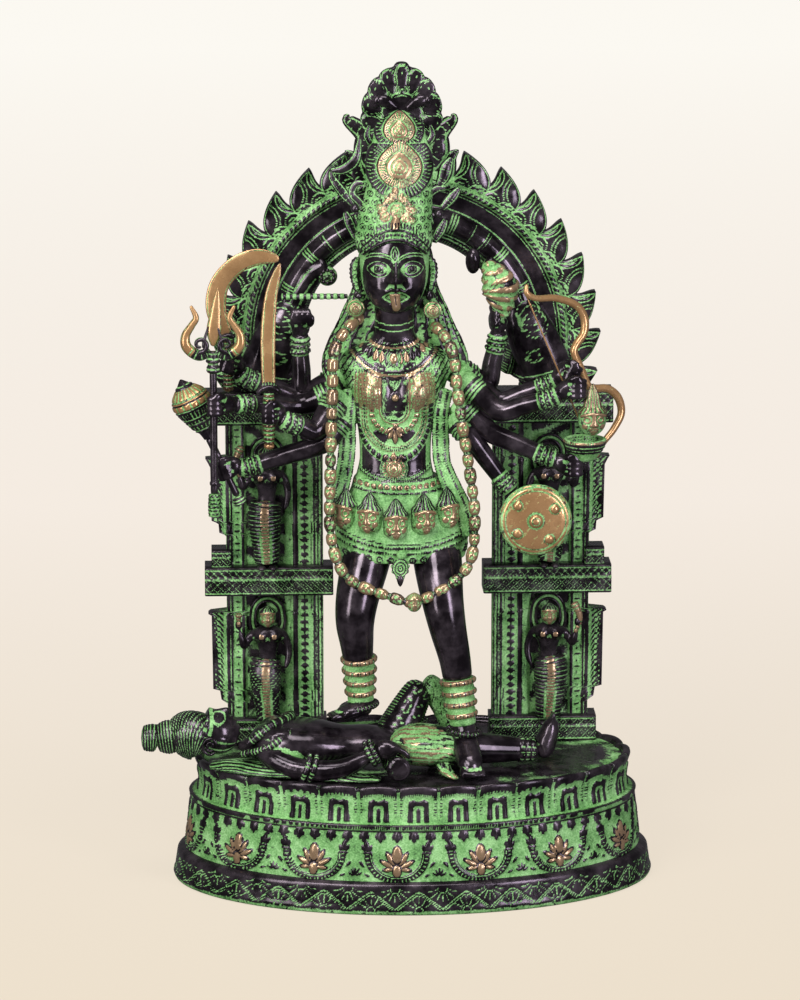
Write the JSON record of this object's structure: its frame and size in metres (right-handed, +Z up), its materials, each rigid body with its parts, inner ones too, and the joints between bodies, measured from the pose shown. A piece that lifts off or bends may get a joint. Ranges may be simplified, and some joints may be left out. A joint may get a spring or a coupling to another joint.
{
  "type": "kali figure",
  "caption": "Ten-armed standing goddess on a lying figure, before an arched back frame with attendants, on an oval double lotus plinth.",
  "frame": {"origin": "middle of the plinth's flat underside", "axes": "+Z up, +Y to the back of the figure, +X to the figure's left hand, which is the viewer's right"},
  "size_m": [0.601, 0.3396, 0.952],
  "materials": {
    "patinated_brass": "green patina over dark cast brass, raised work rubbed dark",
    "lacquered_brass": "near black polished cast brass with green patina in the hollows",
    "bright_brass": "warm satin brass with green in the engraving"
  },
  "bodies": {
    "root": {"plinth": "patinated_brass", "back_frame": "patinated_brass", "shiva": "lacquered_brass", "kali": "lacquered_brass", "trident": "bright_brass", "scimitar": "bright_brass", "sword": "bright_brass", "mace": "bright_brass", "rod": "patinated_brass", "conch": "bright_brass", "bow": "bright_brass", "severed_head": "patinated_brass", "skull_bowl": "patinated_brass", "shield": "bright_brass"}
  },
  "joints": []
}
